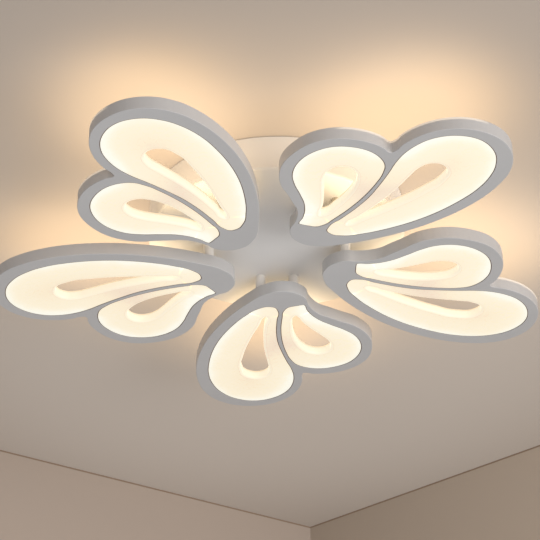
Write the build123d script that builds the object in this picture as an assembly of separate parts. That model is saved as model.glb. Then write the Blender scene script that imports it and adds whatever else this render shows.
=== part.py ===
from build123d import *
import os
from math import atan2, cos, degrees, radians, sin, sqrt

# A flush LED ceiling light seen from below: a round pan against the ceiling and five
# butterfly-wing heads around it, each carried on two hollow posts.
# The origin is the middle of the ceiling plane, +Z is up, and the light hangs below Z = 0.
# The ceiling bracket lies along X.
# A wing is drawn lying along +X, then turned about Z to its own azimuth.

os.makedirs("parts", exist_ok=True)

# Driving dimensions of the whole light
WINGS = 5
FIRST_AZIMUTH = 140.5       # of the first wing, counted from the bracket
CANOPY_RADIUS = 175.0
CANOPY_DEPTH = 52.0
CANOPY_SHEET = 1.5
CANOPY_EDGE_ROUND = 3.0
RIM_GAP = 1.0               # the pan's rim stops this far short of the ceiling

# Driving dimensions of a wing
WING_FACE_Z = -92.0
WING_DEPTH = 18.0
WALL = 1.8
SHEET_Z = -81.0             # underside of the translucent back sheet
SHEET = 2.0
PLATE = 2.0
FACE_EDGE_ROUND = 0.8

# Driving dimensions of the diffusers
SHADOW_GAP = 0.4            # gap round each diffuser, and how far its face is set back
FACE_THICK = 3.0
LIP = 2.2
LIP_THICK = 1.6
TUBE_WALL = 2.0
TUBE_ROUND = 2.6
LENS_EDGE_ROUND = 0.6

# Driving dimensions of the posts and what is on them
POSTS = ((90.0, 25.0), (92.0, -21.0))
POST_RADIUS = 7.0
THREAD_RADIUS = 5.0
BORE_RADIUS = 3.5
TUBE_CLEARANCE = 0.2
TUBE_NUT_FLATS = 14.0
TUBE_NUT_HEIGHT = 4.0
LEAD_RADIUS = 1.3

# Ceiling bracket and the two knurled cap nuts that hold the pan up
BRACKET_HALF = 140.0
BRACKET_WIDTH = 26.0
BRACKET_THICK = 2.0
BRACKET_DROP = 6.0          # how far the bracket's ends stand off the ceiling
JOGGLE_START = 98.0
JOGGLE_END = 104.0
SLOT_REACH = 60.0
SLOT_LENGTH = 20.0
SLOT_WIDTH = 5.5
STUD_REACH = 129.0
STUD_RADIUS = 2.45
STUD_END_Z = -60.0
CAP_RADIUS = 6.5
CAP_BORE_RADIUS = 2.5
CAP_HEIGHT = 11.0
CAP_GAP = 0.3

WING_TOP_Z = WING_FACE_Z + WING_DEPTH
FLANGE_Z = WING_FACE_Z + WALL
CANOPY_FACE_Z = -CANOPY_DEPTH
FLOOR_Z = CANOPY_FACE_Z + CANOPY_SHEET
UP = (0, 0, 1)


def save(node, *solids):
    """Write one node: a single solid, or several separate ones that share a name."""
    shape = solids[0] if len(solids) == 1 else Compound(children=list(solids))
    shape.label = node
    export_step(shape, os.path.join("parts", node + ".step"))


def slab(sketch, low, high):
    """The flat sketch raised from height low to height high."""
    return extrude(Pos(0, 0, low) * sketch, amount=high - low, dir=UP)


def rod(x, y, low, high, radius, bore=0.0):
    """An upright round bar, or a tube where a bore is given."""
    sketch = Circle(radius) - Circle(bore) if bore else Circle(radius)
    return slab(Pos(x, y) * sketch, low, high)


def hexagon(x, y, low, high, flats, bore):
    """A plain hexagon nut standing on its axis at (x, y)."""
    sketch = RegularPolygon(flats / sqrt(3), 6) - Circle(bore)
    return slab(Pos(x, y) * sketch, low, high)


def smooth_loop(points):
    """A closed chain of tangent arcs, two from each point to the next.

    The direction at a point is that of the circle through it and its two neighbours.
    The two arcs between neighbours take equal lengths of both end tangents.
    """
    spots = [Vector(*p) for p in points]
    count = len(spots)
    ways = []
    for i, spot in enumerate(spots):
        before, after = spot - spots[i - 1], spots[(i + 1) % count] - spot
        ways.append((before / before.length ** 2 + after / after.length ** 2).normalized())
    chain = []
    for i in range(count):
        start, end = spots[i], spots[(i + 1) % count]
        way_out, way_in = ways[i], ways[(i + 1) % count]
        span, both = end - start, way_out + way_in
        bend = 2 * (1 - way_out.dot(way_in))
        along = span.dot(both)
        if bend < 1e-6:
            reach = span.dot(span) / (2 * along)
        else:
            reach = (sqrt(along ** 2 + bend * span.dot(span)) - along) / bend
        first, second = start + way_out * reach, end - way_in * reach
        chain.append(bent(start, (first + second) / 2, way_out))
        chain.append(bent((first + second) / 2, end, second - first))
    return chain


def bent(start, end, way):
    """The arc that leaves start along the way and reaches end, or a line if it is flat."""
    chord = (end - start).normalized()
    way = way.normalized()
    if abs(chord.X * way.Y - chord.Y * way.X) < 1e-6:
        return Line(start, end)
    return TangentArc(start, end, tangent=way)


def shifted(edge, distance):
    """The line or arc moved sideways by the distance, to the left of the way it runs."""
    spots = []
    for part in (0, 0.5, 1):
        along = edge % part
        spots.append((edge @ part) + Vector(-along.Y, along.X) * distance)
    return Line(spots[0], spots[2]) if edge.geom_type == GeomType.LINE else ThreePointArc(*spots)


def outline(edges, inward=0.0):
    """The face inside a counter-clockwise loop, moved inward by the distance."""
    return make_face(Wire([shifted(e, inward) if inward else e for e in edges]))


# Outline of a wing seen from above: the notch, round the large lobe to the root,
# and from the root round the small lobe back to the notch
WING = smooth_loop([
    (298.4, -31), (301, -29.9), (322, -29.2), (348, -22.5), (371, -8.5), (388, 12),
    (397, 42), (394, 72), (376, 101), (348, 119), (319, 126), (290, 127.6), (261, 125),
    (203, 109.5), (145, 80.5), (98.6, 45.8), (74, 20.5), (65.3, -3), (70.5, -24),
    (84, -37), (104.4, -42.3), (124.7, -53), (144, -78), (170, -113), (198, -129),
    (229, -132.4), (261, -124.7), (287, -102.2), (300, -71), (300.8, -46), (297.9, -32.9)])

# Outlines of the large and the small diffuser
LARGE = smooth_loop([
    (105.6, 15), (108.6, 5.5), (119, 1.4), (145, 3.6), (174, 5.2), (203, 4.1),
    (232, -0.9), (261, -7.6), (285, -14.2), (304.5, -17), (325, -15.8), (348, -8.5),
    (371, 12), (381.4, 44), (371, 75.5), (348, 96), (319, 106.8), (290, 109.8),
    (261, 107.3), (203, 92.2), (159.5, 70.4), (130.5, 49.9), (112, 31.5)])
SMALL = smooth_loop([
    (102.2, -35.2), (103.4, -36.1), (116, -39.4), (130.5, -46.1), (145, -57),
    (159.5, -73.9), (174, -92.5), (188.5, -106), (203, -113.3), (224.8, -117),
    (246.5, -113), (268.2, -99.6), (282, -77), (286, -57), (282.5, -37.5),
    (273, -22.3), (255, -12.2), (232, -6.2), (203, -2), (174, -0.9), (137.8, -3.4),
    (118, -6.4), (109, -12.5), (105, -23), (102.4, -33.8)])

# Outlines of the two teardrop openings, each with its point towards the root
LARGE_TEAR = smooth_loop([
    (135.6, 19.6), (137.6, 18.5), (159.5, 21.6), (188.5, 24.4), (217.5, 25),
    (246.5, 23.3), (268.3, 20.9), (290, 19.6), (304, 24.5), (311, 39), (305, 52.5),
    (280, 60.4), (246.5, 56), (203, 44.8), (159.5, 29.5), (137, 21)])
SMALL_TEAR = smooth_loop([
    (134.6, -22.9), (136.2, -24.5), (153.7, -32.8), (172.6, -44.9), (190, -58),
    (204.5, -67.6), (219, -72.2), (233, -69.5), (241.5, -56), (238, -42),
    (225, -30.5), (207, -22.8), (188.5, -19), (164, -17.7), (136.6, -21.3)])

# Places of the fastenings in a wing
PLATE_SCREWS = ((74.0, -3.0), (99.0, 38.5), (81.0, -27.5))
SHEET_SCREWS = ((186.0, 92.5), (290.0, 118.8), (379.0, 84.0), (388.5, 30.0),
                (345.0, -16.4), (262.0, -115.0), (196.0, -119.5))
PLATE_EDGE = 112.0          # the root plate ends here
SHEET_EDGE = 104.5          # the back sheet starts here, under the root plate
SHEET_GAP = 0.4

# Frame of a wing: a shallow tray with a flat face, two apertures and screw bosses
frame = slab(outline(WING), WING_FACE_Z, WING_TOP_Z)
frame = fillet(frame.edges().group_by(Axis.Z)[0], FACE_EDGE_ROUND)
frame -= slab(outline(WING, WALL), FLANGE_Z, WING_TOP_Z + 1)
for diffuser in (LARGE, SMALL):
    frame -= slab(outline(diffuser, -SHADOW_GAP), WING_FACE_Z - 1, FLANGE_Z + 1)
for x, y in PLATE_SCREWS:
    frame += rod(x, y, FLANGE_Z - 0.5, WING_TOP_Z - PLATE, 4.0)
for x, y in SHEET_SCREWS:
    frame += rod(x, y, FLANGE_Z - 0.5, SHEET_Z, 2.6)
for x, y in PLATE_SCREWS:
    frame -= rod(x, y, FLANGE_Z + 1, WING_TOP_Z, 1.65)
for x, y in SHEET_SCREWS:
    frame -= rod(x, y, FLANGE_Z + 1, WING_TOP_Z, 1.2)


def diffuser_body(edges, tear):
    """A moulded lens that drops into its aperture, with a tube round the teardrop."""
    low = WING_FACE_Z + SHADOW_GAP
    body = slab(outline(edges), low, low + FACE_THICK)
    body = fillet(body.edges().group_by(Axis.Z)[0], LENS_EDGE_ROUND)
    body += slab(outline(edges, -LIP), FLANGE_Z, FLANGE_Z + LIP_THICK)
    body += slab(outline(tear, -TUBE_WALL), low + FACE_THICK / 2, SHEET_Z)
    body -= slab(outline(tear), low - 1, SHEET_Z + 1)
    rim = [e for e in body.edges().group_by(Axis.Z)[0] if gap_to(e, tear) < 0.05]
    return fillet(rim, TUBE_ROUND)


def gap_to(edge, loop):
    """How near the middle of the edge comes to a loop, seen from above."""
    middle = edge @ 0.5
    return min(other.distance_to(Vertex(middle.X, middle.Y, 0)) for other in loop)


large_diffuser = diffuser_body(LARGE, LARGE_TEAR)
small_diffuser = diffuser_body(SMALL, SMALL_TEAR)

# LED strips: a ribbon on the inside of the wall, with a chip at each step of its pitch
STRIP_HEIGHT = 8.0
STRIP_THICK = 0.5
STRIP_OFFSET = WALL + 0.1
CHIP_LENGTH, CHIP_THICK, CHIP_HEIGHT = 3.5, 0.9, 2.8
CHIP_PITCH = 16.0
CHIP_Z = FLANGE_Z + 4.2
LARGE_ZONE = ((112, 20), (112, 160), (420, 160), (420, -60), (306, -60), (306, 20))
SMALL_ZONE = ((112, -30), (250, -30), (250, -44), (330, -44), (330, -160), (112, -160))


def strip(zone):
    """One lobe's ribbon with its chips, kept to the zone where the lobe runs."""
    area = make_face(Polyline(*zone, close=True))
    ribbon = (outline(WING, STRIP_OFFSET) - outline(WING, STRIP_OFFSET + STRIP_THICK)) & area
    middle = STRIP_OFFSET + STRIP_THICK + CHIP_THICK / 2 - 0.1
    path = Wire([shifted(e, middle) for e in WING])
    chips = Sketch()
    for i in range(1, int(path.length / CHIP_PITCH)):
        along = i * CHIP_PITCH / path.length
        place, way = path @ along, path % along
        chip = Rot(Z=degrees(atan2(way.Y, way.X))) * Rectangle(CHIP_LENGTH, CHIP_THICK)
        chips += Pos(place.X, place.Y) * chip
    chips = chips & area
    low = FLANGE_Z + 0.2
    return slab(ribbon, low, low + STRIP_HEIGHT) + slab(
        chips, CHIP_Z - CHIP_HEIGHT / 2, CHIP_Z + CHIP_HEIGHT / 2)


large_strip = strip(LARGE_ZONE)
small_strip = strip(SMALL_ZONE)

# Translucent back sheet and the steel plate over the root that the posts pull against
cover = outline(WING, WALL + SHEET_GAP)
beyond = Pos(SHEET_EDGE + 200, 0) * Rectangle(400, 400)
root_end = Pos(PLATE_EDGE - 100, 0) * Rectangle(200, 400)
back = cover & beyond
back -= outline(LARGE_TEAR, -0.3)
back -= outline(SMALL_TEAR, -0.3)
for x, y in SHEET_SCREWS:
    back -= Pos(x, y) * Circle(1.6)
back_sheet = slab(back, SHEET_Z, SHEET_Z + SHEET)

plate = cover & root_end
for x, y in PLATE_SCREWS:
    plate -= Pos(x, y) * Circle(2.2)
for x, y in POSTS:
    plate -= Pos(x, y) * Circle(THREAD_RADIUS + TUBE_CLEARANCE)
root_plate = slab(plate, WING_TOP_Z - PLATE, WING_TOP_Z)

# Posts, the threaded tubes through them and the nuts at both ends of each tube
THREAD_LOW = WING_TOP_Z - PLATE - TUBE_NUT_HEIGHT - 3
THREAD_HIGH = FLOOR_Z + TUBE_NUT_HEIGHT + 2.5
posts = [rod(x, y, WING_TOP_Z, CANOPY_FACE_Z, POST_RADIUS, THREAD_RADIUS + TUBE_CLEARANCE)
         for x, y in POSTS]
tubes = [rod(x, y, THREAD_LOW, THREAD_HIGH, THREAD_RADIUS, BORE_RADIUS) for x, y in POSTS]
tube_nuts = []
for x, y in POSTS:
    for low in (WING_TOP_Z - PLATE - TUBE_NUT_HEIGHT, FLOOR_Z):
        tube_nuts.append(hexagon(x, y, low, low + TUBE_NUT_HEIGHT, TUBE_NUT_FLATS,
                                 THREAD_RADIUS + 0.05))


def pan_screw(x, y, seat, shank, head, length):
    """A pan-head screw whose head sits on the seat height and whose shank goes down."""
    top = rod(x, y, seat, seat + 0.7 * head, head)
    top = fillet(top.edges().group_by(Axis.Z)[-1], 0.45 * head)
    slot = Pos(x, y, seat + 0.7 * head) * Box(2 * head, 0.3 * head, 0.5 * head)
    return top - slot + rod(x, y, seat - length, seat + 0.1, shank)


plate_screws = [pan_screw(x, y, WING_TOP_Z, 1.6, 3.4, 9.0) for x, y in PLATE_SCREWS]
sheet_screws = [pan_screw(x, y, SHEET_Z + SHEET, 1.15, 2.3, 7.0) for x, y in SHEET_SCREWS]

# Leads: one from each strip, up the bore of the nearer post, and in to the hub
HUB_RADIUS = 32.0
HUB_LOW, HUB_HIGH = -24.5, -14.5
LEAD_HIGH_Z = (HUB_LOW + HUB_HIGH) / 2
LEAD_LOW_Z = FLANGE_Z + 3.3
HUB_PORT = 5.0              # the two ports of a wing lie this far each side of its axis
STRIP_STARTS = ((115.1, 53.9), (114.8, -41.8))
LEAD_WAYS = (((107.0, 41.5), (104.0, 33.0)), ())    # round the boss of a plate screw


def lead(post, start, ways, side):
    """A round lead from a strip's first pad, through a post, to the hub."""
    x, y = post
    low = [(u, w, LEAD_LOW_Z) for u, w in (start, *ways, post)]
    route = FilletPolyline(
        *low, (x, y, LEAD_HIGH_Z), (HUB_RADIUS - 3, side * HUB_PORT, LEAD_HIGH_Z), radius=3.6)
    section = Plane(origin=route @ 0, z_dir=route % 0) * Circle(LEAD_RADIUS)
    return sweep(section, path=route)


leads = [lead(POSTS[0], STRIP_STARTS[0], LEAD_WAYS[0], 1),
         lead(POSTS[1], STRIP_STARTS[1], LEAD_WAYS[1], -1)]

# Canopy pan: one turned section with holes for the tubes and the two studs
side = CANOPY_RADIUS - CANOPY_SHEET
pan_section = make_face(Polyline(
    (0, CANOPY_FACE_Z), (CANOPY_RADIUS, CANOPY_FACE_Z), (CANOPY_RADIUS, -RIM_GAP),
    (side, -RIM_GAP), (side, FLOOR_Z), (0, FLOOR_Z), close=True))
pan = revolve(Plane.XZ * pan_section, axis=Axis.Z)
pan = fillet(pan.edges().group_by(Axis.Z)[0], CANOPY_EDGE_ROUND)
for i in range(WINGS):
    turn = Rot(Z=FIRST_AZIMUTH + i * 360 / WINGS)
    for x, y in POSTS:
        pan -= turn * rod(x, y, CANOPY_FACE_Z - 1, FLOOR_Z + 1, THREAD_RADIUS + TUBE_CLEARANCE)
for reach in (-STUD_REACH, STUD_REACH):
    pan -= rod(reach, 0, CANOPY_FACE_Z - 1, FLOOR_Z + 1, 3.0)

# Weld studs inside the pan for the driver, the terminal block and the earth tag
DRIVER = (0.0, 12.0)
DRIVER_SIZE = (108.0, 56.0, 26.0)
DRIVER_LUG = 62.0
BLOCK = (0.0, -40.0)
BLOCK_SIZE = (36.0, 18.0, 15.0)
BLOCK_LUG = 24.0
EARTH = (48.0, -40.0)
WELD_STUD_RADIUS = 2.0
WELD_STUD_HEIGHT = 9.0
LUG_THICK = 2.0
NUT_FLATS, NUT_HEIGHT = 7.0, 3.2
weld_studs = [(DRIVER[0] + s * DRIVER_LUG, DRIVER[1]) for s in (-1, 1)]
weld_studs += [(BLOCK[0] + s * BLOCK_LUG, BLOCK[1]) for s in (-1, 1)]
weld_studs.append(EARTH)
for x, y in weld_studs:
    pan += rod(x, y, FLOOR_Z - 0.5, FLOOR_Z + WELD_STUD_HEIGHT, WELD_STUD_RADIUS)

stud_nuts = []
for x, y in weld_studs:
    seat = FLOOR_Z + (1.0 if (x, y) == EARTH else LUG_THICK)
    stud_nuts.append(hexagon(x, y, seat, seat + NUT_HEIGHT, NUT_FLATS, WELD_STUD_RADIUS + 0.05))

# Driver: a closed case on two lugs, with ribs across its lid
case = Pos(DRIVER[0], DRIVER[1], FLOOR_Z + DRIVER_SIZE[2] / 2) * Box(*DRIVER_SIZE)
case = fillet(case.edges().filter_by(Axis.Z), 3.0)
lugs = Pos(DRIVER[0], DRIVER[1]) * SlotOverall(2 * DRIVER_LUG + 12, 12)
driver = case + slab(lugs, FLOOR_Z, FLOOR_Z + LUG_THICK)
for x, y in weld_studs[:2]:
    driver -= rod(x, y, FLOOR_Z - 1, FLOOR_Z + LUG_THICK + 1, WELD_STUD_RADIUS + 0.2)
for s in (-1, 1):
    driver -= Pos(DRIVER[0] + s * 53.6, DRIVER[1], FLOOR_Z + 15) * Box(2, 20, 8)

# Hub on the driver's lid: one port a lead, round the rim
hub = rod(0, 0, HUB_LOW, HUB_HIGH, HUB_RADIUS)
hub = fillet(hub.edges().group_by(Axis.Z)[-1], 1.5)
for i in range(WINGS):
    for (x, y), s in zip(POSTS, (1, -1)):
        mouth = (HUB_RADIUS - 3, s * HUB_PORT, LEAD_HIGH_Z)
        way = (x - mouth[0], y - mouth[1], 0)
        port = Plane(origin=mouth, z_dir=way) * Cylinder(LEAD_RADIUS + 0.2, 12)
        hub -= Rot(Z=FIRST_AZIMUTH + i * 360 / WINGS) * port

# Terminal block with three pairs of screw wells and two lugs
block = Pos(BLOCK[0], BLOCK[1], FLOOR_Z + BLOCK_SIZE[2] / 2) * Box(*BLOCK_SIZE)
lugs = Pos(BLOCK[0], BLOCK[1]) * SlotOverall(2 * BLOCK_LUG + 10, 10)
block += slab(lugs, FLOOR_Z, FLOOR_Z + LUG_THICK)
for x, y in weld_studs[2:4]:
    block -= rod(x, y, FLOOR_Z - 1, FLOOR_Z + LUG_THICK + 1, WELD_STUD_RADIUS + 0.2)
for i in (-1, 0, 1):
    for s in (-1, 1):
        block -= rod(BLOCK[0] + 11 * i, BLOCK[1] + 4.5 * s, FLOOR_Z + 9, FLOOR_Z + 16, 2.2)
    wire_way = Pos(BLOCK[0] + 11 * i, BLOCK[1], FLOOR_Z + 5.5) * Rot(X=90) * Cylinder(1.7, 30)
    block -= wire_way

# Short leads inside the pan: from the driver to the block, and from the block to earth
LEAD_Z = FLOOR_Z + 5.5


def pan_lead(*points):
    """A round lead through the points, with a rounded bend at each corner."""
    route = FilletPolyline(*points, radius=5.0)
    section = Plane(origin=route @ 0, z_dir=route % 0) * Circle(LEAD_RADIUS)
    return sweep(section, path=route)


driver_low_side = DRIVER[1] - DRIVER_SIZE[1] / 2
mains_leads = [pan_lead((s * 11, BLOCK[1] + 6, LEAD_Z), (s * 11, BLOCK[1] + 14, LEAD_Z),
                        (s * 30, BLOCK[1] + 14, LEAD_Z), (s * 30, driver_low_side + 3, LEAD_Z))
               for s in (-1, 1)]
for s in (-1, 1):
    well = Pos(s * 30, driver_low_side, LEAD_Z) * Rot(X=90) * Cylinder(LEAD_RADIUS + 0.2, 8)
    driver -= well
earth_lead = pan_lead((0, BLOCK[1] - 6, LEAD_Z), (0, BLOCK[1] - 16, LEAD_Z),
                      (EARTH[0], BLOCK[1] - 16, LEAD_Z), (EARTH[0], EARTH[1] - 5, LEAD_Z))
tag = slab(Pos(*EARTH) * (Circle(4.5) - Circle(WELD_STUD_RADIUS + 0.1)), FLOOR_Z, FLOOR_Z + 1)
neck = Pos(EARTH[0], EARTH[1] - 5.5, (FLOOR_Z + LEAD_Z) / 2) * Box(
    2.4, 2.0, LEAD_Z - FLOOR_Z + 1.6)
earth_lead = earth_lead + tag + (neck & slab(Pos(*EARTH) * Circle(20), FLOOR_Z, 0))

# Ceiling bracket: a flat strip joggled down at both ends, with its studs pressed in
half_strip = Polyline(
    (0, 0), (JOGGLE_START, 0), (JOGGLE_END, -BRACKET_DROP), (BRACKET_HALF, -BRACKET_DROP),
    (BRACKET_HALF, -BRACKET_DROP - BRACKET_THICK),
    (JOGGLE_END - 0.8, -BRACKET_DROP - BRACKET_THICK),
    (JOGGLE_START - 0.8, -BRACKET_THICK), (0, -BRACKET_THICK), close=True)
arm = extrude(Plane.XZ * make_face(half_strip), amount=BRACKET_WIDTH / 2, both=True)
bracket = arm + mirror(arm, Plane.YZ)
for s in (-1, 1):
    slot = Pos(s * SLOT_REACH, 0) * SlotOverall(SLOT_LENGTH, SLOT_WIDTH)
    bracket -= slab(slot, -BRACKET_THICK - 1, 1)
    end = -BRACKET_DROP
    bracket += rod(s * STUD_REACH, 0, end - 0.5, end + 2.5, 4.5)
    bracket += rod(s * STUD_REACH, 0, STUD_END_Z, end, STUD_RADIUS)
bracket -= rod(0, 0, -BRACKET_THICK - 1, 1, 9.0)

# Cap nut: a knurled barrel with a domed end and a blind bore
cap_top = CANOPY_FACE_Z - CAP_GAP
cap = rod(0, 0, cap_top - CAP_HEIGHT, cap_top, CAP_RADIUS)
cap = fillet(cap.edges().group_by(Axis.Z)[0], 3.0)
KNURLS = 12
for i in range(KNURLS):
    angle = radians(i * 360 / KNURLS)
    x, y = (CAP_RADIUS + 0.3) * cos(angle), (CAP_RADIUS + 0.3) * sin(angle)
    cap -= rod(x, y, cap_top - CAP_HEIGHT + 3.2, cap_top - 1.2, 1.0)
cap -= rod(0, 0, STUD_END_Z - 0.8, cap_top + 1, CAP_BORE_RADIUS)

# Write the pieces of the middle
save("canopy_pan", pan)
save("ceiling_bracket", bracket)
save("cap_nut_1", Pos(STUD_REACH, 0) * cap)
save("cap_nut_2", Pos(-STUD_REACH, 0) * cap)
save("led_driver", driver)
save("lead_hub", hub)
save("terminal_block", block)
save("stud_nuts", *stud_nuts)
save("mains_leads", *mains_leads)
save("earth_lead", earth_lead)

# Write the pieces of each wing, and gather the fastenings of all five
every_tube, every_nut, every_plate_screw, every_sheet_screw = [], [], [], []
for i in range(WINGS):
    turn = Rot(Z=FIRST_AZIMUTH + i * 360 / WINGS)
    name = f"wing_{i + 1}_"
    save(name + "frame", turn * frame)
    save(name + "large_diffuser", turn * large_diffuser)
    save(name + "small_diffuser", turn * small_diffuser)
    save(name + "large_led_strip", turn * large_strip)
    save(name + "small_led_strip", turn * small_strip)
    save(name + "back_sheet", turn * back_sheet)
    save(name + "root_plate", turn * root_plate)
    save(name + "posts", *[turn * p for p in posts])
    save(name + "leads", *[turn * p for p in leads])
    every_tube += [turn * p for p in tubes]
    every_nut += [turn * p for p in tube_nuts]
    every_plate_screw += [turn * p for p in plate_screws]
    every_sheet_screw += [turn * p for p in sheet_screws]
save("threaded_tubes", *every_tube)
save("tube_nuts", *every_nut)
save("plate_screws", *every_plate_screw)
save("sheet_screws", *every_sheet_screw)
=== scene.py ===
# %% [markdown]
# # A lit butterfly-wing ceiling light
# The light hangs from a round white pan. Five metal heads shaped like a butterfly's wing stand
# around it on short posts, and each head holds two lit lenses of opal acrylic, a large one and
# a small one, with a teardrop cut right through each.
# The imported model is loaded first. It gives every metal piece at its real size and place.

import math

import bpy
import numpy as np
from mathutils import Matrix, Vector


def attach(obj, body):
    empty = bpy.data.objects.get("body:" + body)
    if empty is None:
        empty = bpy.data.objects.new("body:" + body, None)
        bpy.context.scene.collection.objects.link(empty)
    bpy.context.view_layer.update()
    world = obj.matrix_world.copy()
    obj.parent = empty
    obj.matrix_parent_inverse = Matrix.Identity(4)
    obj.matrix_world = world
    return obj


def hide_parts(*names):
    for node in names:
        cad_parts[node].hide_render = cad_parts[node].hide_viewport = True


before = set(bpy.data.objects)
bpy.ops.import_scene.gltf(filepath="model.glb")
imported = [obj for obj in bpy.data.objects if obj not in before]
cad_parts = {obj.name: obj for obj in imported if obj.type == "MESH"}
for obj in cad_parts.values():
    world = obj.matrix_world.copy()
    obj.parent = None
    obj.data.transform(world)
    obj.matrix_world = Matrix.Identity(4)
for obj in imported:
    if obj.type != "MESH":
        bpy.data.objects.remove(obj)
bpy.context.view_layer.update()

# %% [markdown]
# The heads are alike, so everything about a head is worked out once, for a head that lies along
# the X axis, and then turned about Z to the place of each of the five.
# The heights are those of the metal frame: its flat face, the flange that the lens rests on,
# and the sheet that closes its back.

# %% Sizes of a head, in metres
HEADS = 5
FIRST_AZIMUTH = 140.5
FACE_Z = -0.092
SHADOW_GAP = 0.0004
LENS_Z = FACE_Z + SHADOW_GAP
FLANGE_Z = FACE_Z + 0.0018
LIP, LIP_THICK = 0.0022, 0.0016
LENS_THICK = 0.003
BACK_Z = -0.081
TUBE_WALL = 0.002
TUBE_ROUND = 0.0034
EDGE_ROUND = 0.0006


def azimuth(head):
    """The direction of a head, in radians, counted from the first one."""
    return math.radians(FIRST_AZIMUTH + head * 360 / HEADS)


def turned(points, angle):
    """The points turned about Z: x cos - y sin, x sin + y cos."""
    c, s = math.cos(angle), math.sin(angle)
    out = np.array(points, float)
    out[..., 0] = points[..., 0] * c - points[..., 1] * s
    out[..., 1] = points[..., 0] * s + points[..., 1] * c
    return out


# %% [markdown]
# A lens outline is a closed chain of arcs through a few points, in millimetres, that touch
# smoothly. Between two points there are two arcs, which is the least that lets both ends have
# the direction that they need. The direction at a point is that of the circle through it and
# its two neighbours. The same few points shape the metal aperture, so lens and frame agree.

# %% Outlines of the lenses and of their teardrops
LARGE_LENS = [
    (105.6, 15), (108.6, 5.5), (119, 1.4), (145, 3.6), (174, 5.2), (203, 4.1),
    (232, -0.9), (261, -7.6), (285, -14.2), (304.5, -17), (325, -15.8), (348, -8.5),
    (371, 12), (381.4, 44), (371, 75.5), (348, 96), (319, 106.8), (290, 109.8),
    (261, 107.3), (203, 92.2), (159.5, 70.4), (130.5, 49.9), (112, 31.5)]
SMALL_LENS = [
    (102.2, -35.2), (103.4, -36.1), (116, -39.4), (130.5, -46.1), (145, -57),
    (159.5, -73.9), (174, -92.5), (188.5, -106), (203, -113.3), (224.8, -117),
    (246.5, -113), (268.2, -99.6), (282, -77), (286, -57), (282.5, -37.5),
    (273, -22.3), (255, -12.2), (232, -6.2), (203, -2), (174, -0.9), (137.8, -3.4),
    (118, -6.4), (109, -12.5), (105, -23), (102.4, -33.8)]
LARGE_TEAR = [
    (135.6, 19.6), (137.6, 18.5), (159.5, 21.6), (188.5, 24.4), (217.5, 25),
    (246.5, 23.3), (268.3, 20.9), (290, 19.6), (304, 24.5), (311, 39), (305, 52.5),
    (280, 60.4), (246.5, 56), (203, 44.8), (159.5, 29.5), (137, 21)]
SMALL_TEAR = [
    (134.6, -22.9), (136.2, -24.5), (153.7, -32.8), (172.6, -44.9), (190, -58),
    (204.5, -67.6), (219, -72.2), (233, -69.5), (241.5, -56), (238, -42),
    (225, -30.5), (207, -22.8), (188.5, -19), (164, -17.7), (136.6, -21.3)]


def arc_points(start, way, end, count):
    """Points on the arc that leaves start along way and reaches end, without the last one.

    The chord turns away from the way by half of the arc's angle, a. At a share f of the arc
    the point lies sin(f a) / sin(a) of the chord away, turned back by (1 - f) a.
    """
    chord = end - start
    half = np.arctan2(way[:, 0] * chord[:, 1] - way[:, 1] * chord[:, 0],
                      np.sum(way * chord, axis=1))
    share = np.arange(count) / count
    half = np.where(np.abs(half) < 1e-7, 1e-7, half)[:, None]
    reach = np.sin(share * half) / np.sin(half)
    back = -(1 - share) * half
    x = reach * (chord[:, :1] * np.cos(back) - chord[:, 1:] * np.sin(back))
    y = reach * (chord[:, :1] * np.sin(back) + chord[:, 1:] * np.cos(back))
    return start[:, None, :] + np.stack([x, y], axis=-1)


def smooth_loop(points, count=14):
    """The closed chain of arcs through the points, in metres, as one dense row of points.

    With the tangents t0 and t1 at two neighbours a chord v apart, both tangents have the
    length d that makes the joint arcs meet: 2(1 - t0.t1) d^2 + 2 v.(t0 + t1) d = v.v
    """
    spots = np.array(points, float) / 1000
    ahead = np.roll(spots, -1, axis=0) - spots
    behind = np.roll(ahead, 1, axis=0)
    way = ahead / np.sum(ahead ** 2, 1)[:, None] + behind / np.sum(behind ** 2, 1)[:, None]
    way /= np.linalg.norm(way, axis=1)[:, None]
    arriving = np.roll(way, -1, axis=0)
    bend = np.maximum(2 * (1 - np.sum(way * arriving, 1)), 1e-9)
    along = np.sum(ahead * (way + arriving), 1)
    reach = (np.sqrt(along ** 2 + bend * np.sum(ahead ** 2, 1)) - along) / bend
    first = spots + way * reach[:, None]
    second = np.roll(spots, -1, axis=0) - arriving * reach[:, None]
    middle = (first + second) / 2
    leaving = arc_points(spots, way, middle, count)
    reaching = arc_points(middle, second - first, np.roll(spots, -1, axis=0), count)
    return np.concatenate([leaving, reaching], axis=1).reshape(-1, 2)


loops = {name: smooth_loop(points) for name, points in (
    ("large", LARGE_LENS), ("small", SMALL_LENS),
    ("large tear", LARGE_TEAR), ("small tear", SMALL_TEAR))}
print("outline points:", {name: len(loop) for name, loop in loops.items()})

# %% [markdown]
# The lens is one moulding: a tube round the teardrop, a flat face whose edges are rounded, and
# a lip that rests on the frame's flange. Cut across anywhere between the teardrop and the
# outline, it shows the same profile, only wider or narrower.
# So the lens is a grid: one parameter runs round the teardrop and the other runs along the
# profile. Each point of the teardrop looks straight outwards, along its normal, and the first
# point of the outline that it sees is its partner.

# %% Partners on the outline
AROUND = 420


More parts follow.
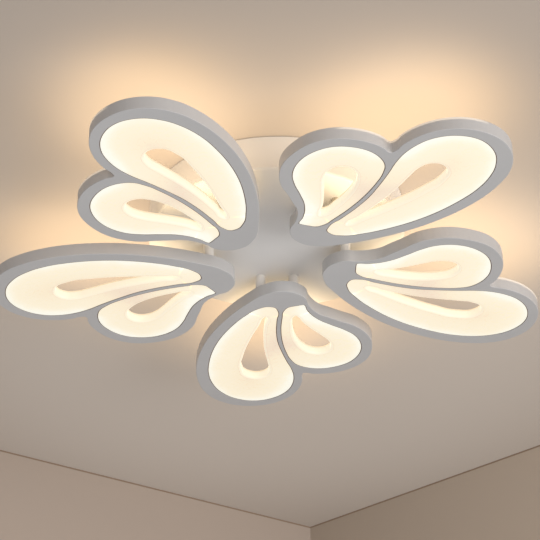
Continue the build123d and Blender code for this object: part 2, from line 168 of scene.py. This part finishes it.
def spread(loop, count):
    """Points spread along the loop, closer together where it bends.

    Each stretch counts for its share of the length plus its share of the turning.
    """
    step = np.roll(loop, -1, axis=0) - loop
    length = np.linalg.norm(step, axis=1)
    heading = np.unwrap(np.arctan2(step[:, 1], step[:, 0]), period=2 * np.pi)
    turn = np.abs(np.diff(np.append(heading, heading[0] + 2 * np.pi)))
    weight = length / length.sum() + 0.55 * turn / turn.sum()
    place = np.append(0, np.cumsum(weight)) / weight.sum()
    closed = np.vstack([loop, loop[:1]])
    wanted = np.arange(count) / count
    return np.stack([np.interp(wanted, place, closed[:, k]) for k in (0, 1)], axis=1)


def outward(loop):
    """The outward normals of a counter-clockwise loop: its direction turned right."""
    way = np.roll(loop, -1, axis=0) - np.roll(loop, 1, axis=0)
    way /= np.linalg.norm(way, axis=1)[:, None]
    return np.stack([way[:, 1], -way[:, 0]], axis=1)


def first_seen(spots, rays, loop):
    """How far each ray runs from its spot to the loop, and the loop's normal there.

    A ray s + r a meets the stretch p + q b where a and b solve that pair of equations.
    """
    edge = np.roll(loop, -1, axis=0) - loop
    normal = outward(loop)
    gap = loop[None, :, :] - spots[:, None, :]
    cross = rays[:, None, 0] * edge[None, :, 1] - rays[:, None, 1] * edge[None, :, 0]
    cross = np.where(np.abs(cross) < 1e-15, 1e-15, cross)
    run = (gap[..., 0] * edge[None, :, 1] - gap[..., 1] * edge[None, :, 0]) / cross
    part = (gap[..., 0] * rays[:, None, 1] - gap[..., 1] * rays[:, None, 0]) / cross
    run = np.where((part >= -1e-9) & (part <= 1 + 1e-9) & (run > 0), run, np.inf)
    hit = np.argmin(run, axis=1)
    share = np.clip(part[np.arange(len(spots)), hit], 0, 1)[:, None]
    following = (hit + 1) % len(loop)
    facing = normal[hit] * (1 - share) + normal[following] * share
    return run.min(axis=1), facing / np.linalg.norm(facing, axis=1)[:, None]


# %% [markdown]
# The profile starts at the top of the tube, goes down its inner wall, rolls over its rounded
# rim, crosses the face to the outline, rounds the edge, and comes back over the lip and the
# hidden back. The last row meets the first, so the moulding is closed.

# %% Grid of a lens
FACE_RINGS = 22
ROUND_RINGS = 7
CREASE = 0.0016
RIM_LINE = 0.0004


def lens_grid(tear, outline):
    """The lens as an array of rows round the teardrop, with how far along the face each is.

    Near the rim a row lies d out from the teardrop, where d and the height follow a quarter
    circle: d = r (1 - cos a), height = r (1 - sin a). Then there is a row for the crease where
    the rim meets the face, and further out the rows share the rest evenly.
    """
    spots = spread(tear, AROUND)
    rays = outward(spots)
    run, normal = first_seen(spots, rays, outline)
    rows, kinds = [], []

    def row(distance, height, tube, beyond=0.0, edge=0.0):
        flat = spots + rays * np.broadcast_to(distance, AROUND)[:, None] + normal * beyond
        rows.append(np.column_stack([flat, np.full(AROUND, height)]))
        kinds.append((tube, edge))

    for height in np.linspace(BACK_Z, LENS_Z + TUBE_ROUND, 5)[:-1]:
        row(0.0, height, 1.0)
    for angle in np.linspace(0, math.pi / 2, ROUND_RINGS):
        row(TUBE_ROUND * (1 - math.cos(angle)), LENS_Z + TUBE_ROUND * (1 - math.sin(angle)),
            1.0 - 0.55 * angle / (math.pi / 2))
    inner, outer = TUBE_ROUND + CREASE, run - EDGE_ROUND - RIM_LINE
    for share in np.linspace(0, 1, FACE_RINGS):
        row(inner + (outer - inner) * share, LENS_Z, 0.0)
    # The rounded outer edge: its rows are marked with edge 1, where the material paints the shade
    # of the gap.
    for angle in np.linspace(0, math.pi / 2, 4):
        row(run, LENS_Z + EDGE_ROUND * (1 - math.cos(angle)), 0.0,
            -EDGE_ROUND * (1 - math.sin(angle)), 1.0)
    row(run, FLANGE_Z, 0.0, 0.0, 1.0)
    row(run, FLANGE_Z, 0.0, LIP)
    row(run, FLANGE_Z + LIP_THICK, 0.0, LIP)
    row(run, LENS_Z + LENS_THICK, 0.0)
    for share in (0.66, 0.33):
        row(TUBE_WALL + (run - TUBE_WALL) * share, LENS_Z + LENS_THICK, 0.0)
    row(TUBE_WALL, LENS_Z + LENS_THICK, 0.5)
    row(TUBE_WALL, BACK_Z, 1.0)
    return np.array(rows), np.array(kinds)


grids = {size: lens_grid(loops[size + " tear"], loops[size]) for size in ("large", "small")}
print("lens grids:", {size: grid.shape for size, (grid, kinds) in grids.items()})

# %% [markdown]
# A lit lens isn't evenly bright. The chips sit on a ribbon along the outer wall of the head, so
# the lens is almost white beside them and falls off to cream, and it is dimmest towards the
# bar between the two lenses and towards the root, where there is no ribbon.
# Each point of the grid gets one number for this: its distance to the nearest chip ribbon,
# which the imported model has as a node. The material turns that number into light.

# %% Distance from the chip ribbon


def node_points(name, angle=0.0):
    """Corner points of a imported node, turned about Z, as an array."""
    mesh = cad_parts[name].data
    flat = np.empty(len(mesh.vertices) * 3, np.float32)
    mesh.vertices.foreach_get("co", flat)
    return turned(flat.reshape(-1, 3).astype(float), angle)


def ribbon_distance(grid, ribbon, batch=1500):
    """Least flat distance from each grid point to the ribbon's points, in metres."""
    flat = grid[..., :2].reshape(-1, 2)
    parts = [np.sqrt(((flat[i:i + batch, None, :] - ribbon[None]) ** 2).sum(-1)).min(1)
             for i in range(0, len(flat), batch)]
    return np.concatenate(parts).reshape(grid.shape[:2])


def thinned(points, step):
    """One point for each square of the given step, so that the distances go faster."""
    keys = np.round(points[:, :2] / step).astype(int)
    return np.unique(keys, axis=0) * step


def softened(values, times=40):
    """The values averaged again and again with their neighbours round the teardrop."""
    for _ in range(times):
        values = (np.roll(values, 1, axis=1) + 2 * values + np.roll(values, -1, axis=1)) / 4
    return values


glow_distance = {}
for size in ("large", "small"):
    ribbon = thinned(node_points(f"wing_1_{size}_led_strip", -azimuth(0)), 0.004)
    glow_distance[size] = softened(ribbon_distance(grids[size][0], ribbon))
    print(size, "lens lies", glow_distance[size].min().round(4), "to",
          glow_distance[size].max().round(4), "m from its ribbon")

# %% [markdown]
# The grid goes into a mesh in whole arrays: its points, then its four-sided faces, which join
# each row to the next and the last row to the first. Three numbers of each point are kept as
# attributes: its distance to the ribbon, how much it belongs to the tube, and how much to the
# rounded outer edge. The last two also place painted shade: a dark crease by the rim and a dark
# outer edge.

# %% Mesh of a closed grid


def grid_mesh(name, grid, **attributes):
    """A mesh from a grid that closes both ways, with one attribute per named array."""
    rows, columns = grid.shape[:2]
    index = np.arange(rows * columns).reshape(rows, columns)
    right, below = np.roll(index, -1, axis=1), np.roll(index, -1, axis=0)
    across = np.roll(right, -1, axis=0)
    faces = np.stack([index, right, across, below], axis=-1).reshape(-1)
    mesh = bpy.data.meshes.new(name)
    mesh.vertices.add(rows * columns)
    mesh.vertices.foreach_set("co", grid.reshape(-1).astype(np.float32))
    mesh.loops.add(len(faces))
    mesh.loops.foreach_set("vertex_index", faces.astype(np.int32))
    mesh.polygons.add(len(faces) // 4)
    mesh.polygons.foreach_set("loop_start", np.arange(0, len(faces), 4, dtype=np.int32))
    mesh.update(calc_edges=True)
    mesh.polygons.foreach_set("use_smooth", np.ones(len(faces) // 4, bool))
    for key, values in attributes.items():
        layer = mesh.attributes.new(key, "FLOAT", "POINT")
        layer.data.foreach_set("value", values.reshape(-1).astype(np.float32))
    mesh.validate()
    piece = bpy.data.objects.new(name, mesh)
    bpy.context.scene.collection.objects.link(piece)
    return piece


def volume(grid):
    """Signed volume inside a closed grid: positive where its faces point outwards."""
    a = grid
    b, d = np.roll(grid, -1, axis=1), np.roll(grid, -1, axis=0)
    c = np.roll(b, -1, axis=0)
    return float((np.sum(a * np.cross(b, c)) + np.sum(a * np.cross(c, d))) / 6)


lenses = []
for size, (grid, kinds) in grids.items():
    print(size, "lens volume:", round(volume(grid) * 1e6, 1), "cubic cm")
    tube, edge = (np.repeat(kinds[:, k:k + 1], AROUND, axis=1) for k in (0, 1))
    for head in range(HEADS):
        name = f"lens_{size}_{head + 1}"
        lens = grid_mesh(name, turned(grid, azimuth(head)),
                         ribbon=glow_distance[size], tube=tube, edge=edge)
        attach(lens, "fixture")
        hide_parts(f"wing_{head + 1}_{size}_diffuser")
        lenses.append(lens)

# %% [markdown]
# Materials are made of small networks of nodes. Short helpers keep them readable: they add a
# node and set its values, a scale of colours or greys, noise, a mix of two colours, or relief,
# and one turns a colour as it looks on a screen into what a shader takes.

# %% Helpers for materials


def new_material(name):
    """An empty node material with its output and a Principled shader."""
    material = bpy.data.materials.new(name)
    material.use_nodes = True
    tree = material.node_tree
    tree.nodes.clear()
    output = tree.nodes.new("ShaderNodeOutputMaterial")
    shader = tree.nodes.new("ShaderNodeBsdfPrincipled")
    tree.links.new(shader.outputs[0], output.inputs["Surface"])
    return material, tree, shader


def add(tree, kind, inputs=None, **settings):
    """A node with its settings, and its inputs set to numbers or linked to sockets."""
    node = tree.nodes.new("ShaderNode" + kind)
    for key, value in settings.items():
        setattr(node, key, value)
    for key, value in (inputs or {}).items():
        if isinstance(value, bpy.types.NodeSocket):
            tree.links.new(value, node.inputs[key])
        else:
            node.inputs[key].default_value = value
    return node


def scale_of(tree, source, stops):
    """A colour scale: each stop is a place from 0 to 1 and a colour or a grey."""
    ramp = add(tree, "ValToRGB", {0: source})
    elements = ramp.color_ramp.elements
    while len(elements) > 1:
        elements.remove(elements[0])
    for i, (place, colour) in enumerate(stops):
        element = elements[0] if i == 0 else elements.new(place)
        element.position = place
        rgb = colour if isinstance(colour, tuple) else (colour,) * 3
        element.color = (*rgb, 1)
    return ramp.outputs[0]


def grain(tree, scale, detail=3.0, rough=0.55, stretch=None):
    """Noise on the object's own coordinates, in cycles a metre."""
    place = add(tree, "TexCoord").outputs["Object"]
    if stretch:
        place = add(tree, "Mapping", {"Vector": place, "Scale": stretch}).outputs[0]
    noise = add(tree, "TexNoise", {"Vector": place, "Scale": scale, "Detail": detail,
                                   "Roughness": rough})
    return noise.outputs["Fac"]


def mixed(tree, factor, first, second, blend="MIX"):
    """Two colours mixed by a factor, or multiplied where the blend says so."""
    node = tree.nodes.new("ShaderNodeMix")
    node.data_type, node.blend_type = "RGBA", blend
    for place, value in ((0, factor), (6, first), (7, second)):
        if isinstance(value, bpy.types.NodeSocket):
            tree.links.new(value, node.inputs[place])
        else:
            node.inputs[place].default_value = value
    return node.outputs[2]


def bump(tree, shader, height, distance, strength=0.3, normal=None):
    """Small relief: the height, of which 1 stands for the distance in metres."""
    inputs = {"Height": height, "Distance": distance, "Strength": strength}
    if normal is not None:
        inputs["Normal"] = normal
    node = add(tree, "Bump", inputs)
    tree.links.new(node.outputs[0], shader.inputs["Normal"])
    return node.outputs[0]


def linear(red, green, blue):
    """A colour written as it looks on a screen, 0 to 255, made linear for the shader."""
    values = np.array([red, green, blue]) / 255
    low, high = values / 12.92, ((values + 0.055) / 1.055) ** 2.4
    return tuple(float(v) for v in np.where(values <= 0.04045, low, high))


# %% [markdown]
# Lit opal acrylic. The lit lens goes from near white beside the ribbon, through cream,
# to a dim pinkish beige by the bar and the root. Half of that colour also goes into the
# acrylic's base colour, so there its falloff is painted light, and the rest is light that it
# gives off. The rounded rim of the teardrop is a little paler than the face, and a line of
# painted shade, a slightly darker crease, parts the two.
# The rounded outer edge is painted dark, as painted shade where it turns down into the gap
# beside the frame. A little cloudiness in the moulding keeps the lens from looking printed.

# %% Lit opal acrylic
LENS_GLOW = 0.655
BRIGHT_WITHIN, DIM_BEYOND = 0.012, 0.112
UNEVEN = 0.004
opal, tree, shader = new_material("lit_opal_acrylic")
ribbon_gap = add(tree, "Attribute", attribute_name="ribbon").outputs["Fac"]
tube_part = add(tree, "Attribute", attribute_name="tube").outputs["Fac"]
gap_shade_mask = add(tree, "Attribute", attribute_name="edge").outputs["Fac"]
cloud = grain(tree, 22.0, detail=2.0)
uneven = add(tree, "MapRange", {"Value": cloud, "From Min": 0.3, "From Max": 0.7,
                                "To Min": -UNEVEN, "To Max": UNEVEN}).outputs[0]
gap = add(tree, "Math", {0: ribbon_gap, 1: uneven}, operation="ADD").outputs[0]
reach = add(tree, "MapRange", {"Value": gap, "From Min": BRIGHT_WITHIN,
                               "From Max": DIM_BEYOND}).outputs[0]
lit = scale_of(tree, reach, [
    (0.00, linear(255, 253, 240)), (0.05, linear(255, 252, 236)), (0.10, linear(255, 247, 226)),
    (0.17, linear(254, 243, 218)), (0.32, linear(253, 241, 215)), (0.52, linear(252, 237, 209)),
    (0.70, linear(246, 228, 204)), (0.90, linear(238, 218, 197))])
# Painted shade: a slightly darker beige line where the teardrop's rounded rim meets the face.
lit = mixed(tree, scale_of(tree, tube_part, [(0.0, 0.0), (0.16, 0.55), (0.40, 0.0)]),
            lit, (*linear(232, 208, 184), 1))
lit = mixed(tree, scale_of(tree, tube_part, [(0.15, 0.0), (0.45, 0.35), (1.0, 0.8)]),
            lit, (*linear(253, 243, 221), 1))
# Painted shade: the rounded outer edge turns dark brown, for the shadow in the gap beside the
# frame.
lit = mixed(tree, gap_shade_mask, lit, (*linear(96, 72, 56), 1))
tree.links.new(lit, shader.inputs["Emission Color"])
shader.inputs["Emission Strength"].default_value = LENS_GLOW
# Painted light: the base colour is half of the lit colour, so the glow's falloff and the painted
# crease and edge shade are in the acrylic's own colour too.
tree.links.new(mixed(tree, 1.0, lit, (0.5, 0.5, 0.5, 1), "MULTIPLY"), shader.inputs["Base Color"])
tree.links.new(scale_of(tree, grain(tree, 160.0), [(0.3, 0.24), (0.7, 0.34)]),
               shader.inputs["Roughness"])
shader.inputs["IOR"].default_value = 1.49
shader.inputs["Specular IOR Level"].default_value = 0.3
bump(tree, shader, grain(tree, 140.0, 2.0), 0.00012, 0.25)
for lens in lenses:
    lens.data.materials.append(opal)

# %% [markdown]
# Powder coat covers the frames, the posts and the pan. Close up it has a fine orange peel and
# its white isn't quite even, and it is a touch glossier where it is handled. Two sizes of noise
# give the relief, and a third changes the colour and the roughness by a few percent.

# %% White powder coat


def powder_coat(name, colour, rough=(0.38, 0.50)):
    """Satin powder coat of one colour, with orange peel and slight unevenness."""
    material, tree, shader = new_material(name)
    patches = grain(tree, 9.0, 4.0)
    dark = tuple(v * 0.965 for v in colour)
    pale = tuple(min(v * 1.02, 1.0) for v in colour)
    tree.links.new(scale_of(tree, patches, [(0.3, dark), (0.7, pale)]),
                   shader.inputs["Base Color"])
    tree.links.new(scale_of(tree, grain(tree, 60.0), [(0.3, rough[0]), (0.7, rough[1])]),
                   shader.inputs["Roughness"])
    shader.inputs["IOR"].default_value = 1.5
    shader.inputs["Specular IOR Level"].default_value = 0.35
    fine = bump(tree, shader, grain(tree, 2600.0, 1.0), 0.00004, 0.35)
    bump(tree, shader, grain(tree, 700.0, 2.0), 0.00006, 0.3, fine)
    return material


# Painted shade: the frames are white, but their coat is set to a darker grey, 0.56, than the
# posts and pan, to carry the shade that the backlit frames stand in.
shaded_frame_coat = powder_coat("frame_coat_painted_shade", (0.56, 0.553, 0.553))
post_paint = powder_coat("post_powder_coat", (0.84, 0.81, 0.77))
pan_paint = powder_coat("pan_powder_coat", (0.76, 0.745, 0.735), (0.42, 0.55))

# %% [markdown]
# Zinc-plated steel for the plates, tubes and screws, brushed along the sheet, and satin nickel
# for the two cap nuts. Both are metals: their colour is in their reflections, and long thin
# noise roughens them along the brushing.

# %% Bright steel and nickel


def brushed(name, colour, rough, stretch=(60.0, 900.0, 900.0)):
    """A brushed metal: its roughness and relief are noise drawn out along one direction."""
    material, tree, shader = new_material(name)
    lines = grain(tree, 1.0, 4.0, 0.6, stretch)
    tree.links.new(scale_of(tree, grain(tree, 14.0), [
        (0.3, tuple(v * 0.9 for v in colour)), (0.7, colour)]), shader.inputs["Base Color"])
    tree.links.new(scale_of(tree, lines, [(0.3, rough[0]), (0.7, rough[1])]),
                   shader.inputs["Roughness"])
    shader.inputs["Metallic"].default_value = 1.0
    bump(tree, shader, lines, 0.00003, 0.3)
    return material


zinc = brushed("bright_zinc", (0.66, 0.67, 0.69), (0.26, 0.44))
nickel = brushed("satin_nickel", (0.62, 0.58, 0.52), (0.20, 0.34), (300.0, 300.0, 1500.0))

# %% [markdown]
# The back of a head is closed by a sheet of translucent acrylic, which passes part of the light
# up to the ceiling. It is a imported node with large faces, so its faint light comes from soft
# noise instead of from a number at each point.

# %% Translucent back sheet
back_acrylic, tree, shader = new_material("back_acrylic")
soft = grain(tree, 11.0, 2.0)
tree.links.new(scale_of(tree, soft, [(0.3, (1.0, 0.76, 0.43)), (0.7, (1.0, 0.80, 0.48))]),
               shader.inputs["Emission Color"])
shader.inputs["Emission Strength"].default_value = 0.50
tree.links.new(scale_of(tree, soft, [(0.3, (0.50, 0.48, 0.43)), (0.7, (0.56, 0.54, 0.49))]),
               shader.inputs["Base Color"])
tree.links.new(scale_of(tree, grain(tree, 90.0), [(0.3, 0.35), (0.7, 0.5)]),
               shader.inputs["Roughness"])
bump(tree, shader, grain(tree, 220.0), 0.00008, 0.25)

# %% [markdown]
# The rest is inside the pan and the heads: the driver's plastic case, the hub and the terminal
# block, the sleeves of the leads, and the chip ribbons. The sleeves are soft silicone, the
# earth lead has its green and yellow bands, and the ribbon glows between its chips.

# %% Plastics, sleeves and ribbon


def moulded(name, colour, rough=(0.35, 0.5), grit=500.0, depth=0.00008):
    """Moulded plastic with a fine spark-eroded texture and slight unevenness."""
    material, tree, shader = new_material(name)
    tree.links.new(scale_of(tree, grain(tree, 12.0), [
        (0.3, tuple(v * 0.93 for v in colour)), (0.7, colour)]), shader.inputs["Base Color"])
    tree.links.new(scale_of(tree, grain(tree, 80.0), [(0.3, rough[0]), (0.7, rough[1])]),
                   shader.inputs["Roughness"])
    bump(tree, shader, grain(tree, grit), depth, 0.35)
    return material


driver_plastic = moulded("driver_plastic", (0.80, 0.80, 0.77))
hub_plastic = moulded("hub_plastic", (0.86, 0.86, 0.84), (0.28, 0.42))
sleeve = moulded("silicone_sleeve", (0.82, 0.81, 0.78), (0.5, 0.65), 900.0, 0.00004)

earth_sleeve, tree, shader = new_material("earth_sleeve")
bands = add(tree, "TexWave", {"Vector": add(tree, "TexCoord").outputs["Object"],
                              "Scale": 60.0, "Distortion": 0.6}, bands_direction="DIAGONAL")
tree.links.new(scale_of(tree, bands.outputs["Fac"], [
    (0.44, (0.10, 0.32, 0.07)), (0.56, (0.72, 0.62, 0.06))]), shader.inputs["Base Color"])
tree.links.new(scale_of(tree, grain(tree, 90.0), [(0.3, 0.4), (0.7, 0.55)]),
               shader.inputs["Roughness"])
bump(tree, shader, grain(tree, 900.0), 0.00004, 0.3)

chip_ribbon, tree, shader = new_material("chip_ribbon")
tree.links.new(scale_of(tree, grain(tree, 320.0), [
    (0.42, (0.80, 0.78, 0.72)), (0.58, (0.86, 0.72, 0.30))]), shader.inputs["Base Color"])
tree.links.new(scale_of(tree, grain(tree, 120.0), [
    (0.3, (1.0, 0.85, 0.6)), (0.7, (1.0, 0.92, 0.75))]), shader.inputs["Emission Color"])
shader.inputs["Emission Strength"].default_value = 1.5
tree.links.new(scale_of(tree, grain(tree, 200.0), [(0.3, 0.3), (0.7, 0.5)]),
               shader.inputs["Roughness"])
bump(tree, shader, grain(tree, 600.0), 0.00005, 0.3)

# %% [markdown]
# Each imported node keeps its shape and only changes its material. The word in its name says
# which one it takes.

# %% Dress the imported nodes
FINISHES = [
    ("_frame", shaded_frame_coat), ("_posts", post_paint), ("canopy_pan", pan_paint),
    ("cap_nut", nickel), ("_back_sheet", back_acrylic), ("_led_strip", chip_ribbon),
    ("led_driver", driver_plastic), ("lead_hub", hub_plastic), ("terminal_block", hub_plastic),
    ("earth_lead", earth_sleeve), ("_leads", sleeve)]
for name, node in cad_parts.items():
    finish = next((m for word, m in FINISHES if word in name), zinc)
    for slot_index in range(len(node.material_slots)):
        node.material_slots[slot_index].material = finish
print("dressed nodes:", len(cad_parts))

# %% [markdown]
# The room. The light hangs under a warm beige ceiling, and where the camera looks there are
# two walls that meet in a corner. Each plane shows only its inner side: seen from behind it
# lets the view through, so that the light can be looked at from above as well. The ceiling is
# open over the middle of the pan, where a real one has its cable and its box.
# Pools of light are painted into the paint as soft round glows: on the ceiling a broad halo
# beside the light and a warm ring round the pan, and on the walls broad faint pools.
# A thin strip of painted shade, dark brown, runs where each wall meets the ceiling.

# %% Ceiling and walls
CEILING_Z = 0.0005
CORNER = (-0.779, 0.686)
LEFT_WAY = (-0.074, -0.612)
RIGHT_WAY = (0.487, 0.106)
WALL_LENGTH, WALL_HEIGHT, WALL_SHADE_DEPTH = 3.5, 0.6, 0.003
CEILING_REACH, CEILING_HOLE = 4.5, 0.169


def one_sided(name, colour, glows):
    """Matt wall paint that can be seen from its front only, with soft round glows.

    Each glow is a pool of painted light: a colour, a centre, the distance within which it is
    full, and the one at which it has died away.
    """
    material, tree, shader = new_material(name)
    dark = tuple(v * 0.985 for v in colour)
    paint = scale_of(tree, grain(tree, 1.2), [(0.3, dark), (0.7, colour)])
    tree.links.new(paint, shader.inputs["Base Color"])
    place = add(tree, "TexCoord").outputs["Object"]
    total = (0, 0, 0, 1)
    for light, centre, near, far in glows:
        away = add(tree, "VectorMath", {0: place, 1: centre}, operation="DISTANCE")
        share = add(tree, "MapRange", {
            "Value": away.outputs["Value"], "From Min": near, "From Max": far,
            "To Min": 1.0, "To Max": 0.0}, interpolation_type="SMOOTHSTEP").outputs[0]
        glow = mixed(tree, share, (0, 0, 0, 1), (*light, 1))
        total = mixed(tree, 1.0, glow, total, "ADD")
    tree.links.new(total, shader.inputs["Emission Color"])
    shader.inputs["Emission Strength"].default_value = 1.0
    shader.inputs["Roughness"].default_value = 0.9
    shader.inputs["Specular IOR Level"].default_value = 0.1
    bump(tree, shader, grain(tree, 180.0), 0.0001, 0.1)
    clear = add(tree, "BsdfTransparent")
    behind = add(tree, "NewGeometry").outputs["Backfacing"]
    mix = add(tree, "MixShader", {0: behind, 1: shader.outputs[0], 2: clear.outputs[0]})
    output = [n for n in tree.nodes if n.type == "OUTPUT_MATERIAL"][0]
    tree.links.new(mix.outputs[0], output.inputs["Surface"])
    return material


def stage_piece(name, corners, faces, material):
    """A flat piece of the room, with its front on the side that its faces turn to."""
    mesh = bpy.data.meshes.new(name)
    mesh.from_pydata([tuple(c) for c in corners], [], faces)
    piece = bpy.data.objects.new(name, mesh)
    bpy.context.scene.collection.objects.link(piece)
    mesh.materials.append(material)


def wall(name, way, order, material, high, low):
    """An upright strip from the corner of the room along the way, facing the light.

    It lies between the depths high and low under the ceiling.
    """
    along = np.array(way) / np.linalg.norm(way)
    start, end = np.array(CORNER), np.array(CORNER) + along * WALL_LENGTH
    high, low = CEILING_Z - high, CEILING_Z - low
    corners = [(*start, high), (*end, high), (*end, low), (*start, low)]
    stage_piece(name, corners, [(0, 1, 2, 3)[::order]], material)


# Painted light: a broad halo and a warm ring of light round the pan, painted into the ceiling.
ceiling_paint = one_sided("ceiling_paint", (0.525, 0.455, 0.395), [
    ((0.105, 0.100, 0.092), (-0.32, 0.25, 0), 0.3, 0.85),
    ((0.04, 0.025, 0.01), (0, 0, 0), 0.34, 0.50)])
# Painted light: faint broad pools of light painted into the walls.
left_paint = one_sided("left_wall_paint", (0.46, 0.385, 0.33), [
    ((0.02, 0.016, 0.012), (-0.8, 0.2, 0), 1.5, 4.0)])
right_paint = one_sided("right_wall_paint", (0.46, 0.385, 0.315), [
    ((0.075, 0.062, 0.050), (0.2, 0.9, 0), 0.2, 1.2)])
# Painted shade: the dark strip at the top of each wall, where it meets the ceiling.
wall_shade_paint = one_sided("wall_shade_shadow_paint", (0.30, 0.22, 0.165), [
    ((0.01, 0.008, 0.006), (0, 0, 0), 1.0, 4.0)])

rim = np.arange(96) * math.tau / 96
circle = np.stack([np.cos(rim), np.sin(rim), np.zeros(96)], axis=1)
height = np.array([0, 0, CEILING_Z])
ring = np.concatenate([circle * CEILING_HOLE, circle * CEILING_REACH]) + height
stage_piece("ceiling", ring, [(i, (i + 1) % 96, (i + 1) % 96 + 96, i + 96) for i in range(96)],
            ceiling_paint)
for side, way, order, paint in (("left", LEFT_WAY, 1, left_paint),
                                ("right", RIGHT_WAY, -1, right_paint)):
    wall(f"wall_{side}", way, order, paint, WALL_SHADE_DEPTH, WALL_HEIGHT)
    # A strip of painted shade along the top of each wall, where it meets the ceiling.
    wall(f"wall_shade_{side}", way, order, wall_shade_paint, 0.0, WALL_SHADE_DEPTH)

# %% [markdown]
# The light of the room is soft and even, at a level at which a colour looks as it is written.
# The world gives most of it. One wide lamp stands low on the right of the camera, so that the
# sides of the heads that face right are paler than those that face left. Where the view passes
# the room it finds a pale grey, and so do reflections.

# %% Room light
world = bpy.data.worlds.new("room_light")
bpy.context.scene.world = world
world.use_nodes = True
tree = world.node_tree
tree.nodes.clear()
path = add(tree, "LightPath").outputs
seen = add(tree, "Math", {0: path["Is Camera Ray"], 1: path["Is Glossy Ray"]},
           operation="MAXIMUM").outputs[0]
seen = add(tree, "Math", {0: seen, 1: path["Is Transmission Ray"]},
           operation="MAXIMUM").outputs[0]
even = add(tree, "Background", {"Color": (0.99, 0.985, 0.985, 1), "Strength": 0.54})
pale = add(tree, "Background", {"Color": (0.80, 0.79, 0.77, 1), "Strength": 1.0})
mix = add(tree, "MixShader", {0: seen, 1: even.outputs[0], 2: pale.outputs[0]})
add(tree, "OutputWorld", {"Surface": mix.outputs[0]})


def area_lamp(name, size, watts, colour, place, turn):
    """A flat lamp with an oval face, hidden from the camera, turned by three angles."""
    data = bpy.data.lights.new(name, "AREA")
    data.shape = "ELLIPSE"
    data.size, data.size_y = size
    data.energy, data.color = watts, colour
    piece = bpy.data.objects.new(name, data)
    piece.location = place
    piece.rotation_euler = turn
    piece.visible_camera = False
    bpy.context.scene.collection.objects.link(piece)


soft_place = Vector((2.90, 0.62, -1.20))
area_lamp("soft_lamp", (2.7, 2.7), 60.0, (1.0, 0.98, 0.96), soft_place,
          (-soft_place).to_track_quat("-Z", "Y").to_euler())

# %% [markdown]
# The light that each head throws up at the ceiling draws warm pools around it. It comes from a
# flat lamp as wide as the head, which lies on the back sheet and shines upwards.

# %% Light on the ceiling
UPLIGHT_PLACE = (0.272, 0.004, -0.077)
UPLIGHT_SIZE, UPLIGHT_WATTS, UPLIGHT_COLOUR = (0.27, 0.22), 0.22, (1.0, 0.79, 0.53)
for head in range(HEADS):
    middle = turned(np.array([UPLIGHT_PLACE]), azimuth(head))[0]
    area_lamp(f"uplight_{head + 1}", UPLIGHT_SIZE, UPLIGHT_WATTS, UPLIGHT_COLOUR, middle,
              (math.pi, 0.0, azimuth(head)))

# %% [markdown]
# The camera stands below the light and looks up at it at 32 degrees, with a long lens, as in
# the photograph. Its place was worked out from the photograph: five equal heads, evenly set
# round a circle, can only look as they do there from one place.

# %% Camera
camera_data = bpy.data.cameras.new("camera")
camera_data.sensor_width = 36.0
camera_data.lens = 133.2
camera = bpy.data.objects.new("camera", camera_data)
ahead = Vector((-0.66631, 0.52208, 0.53242)).normalized()
above = Vector((0.42504, -0.32075, 0.84644)).normalized()
side = ahead.cross(above).normalized()
above = side.cross(ahead)
place = Vector((1.80218, -1.42408, -1.5420))
camera.matrix_world = Matrix((
    (side.x, above.x, -ahead.x, place.x), (side.y, above.y, -ahead.y, place.y),
    (side.z, above.z, -ahead.z, place.z), (0, 0, 0, 1)))
bpy.context.scene.collection.objects.link(camera)
bpy.context.scene.camera = camera
bpy.context.scene.view_settings.view_transform = "Standard"
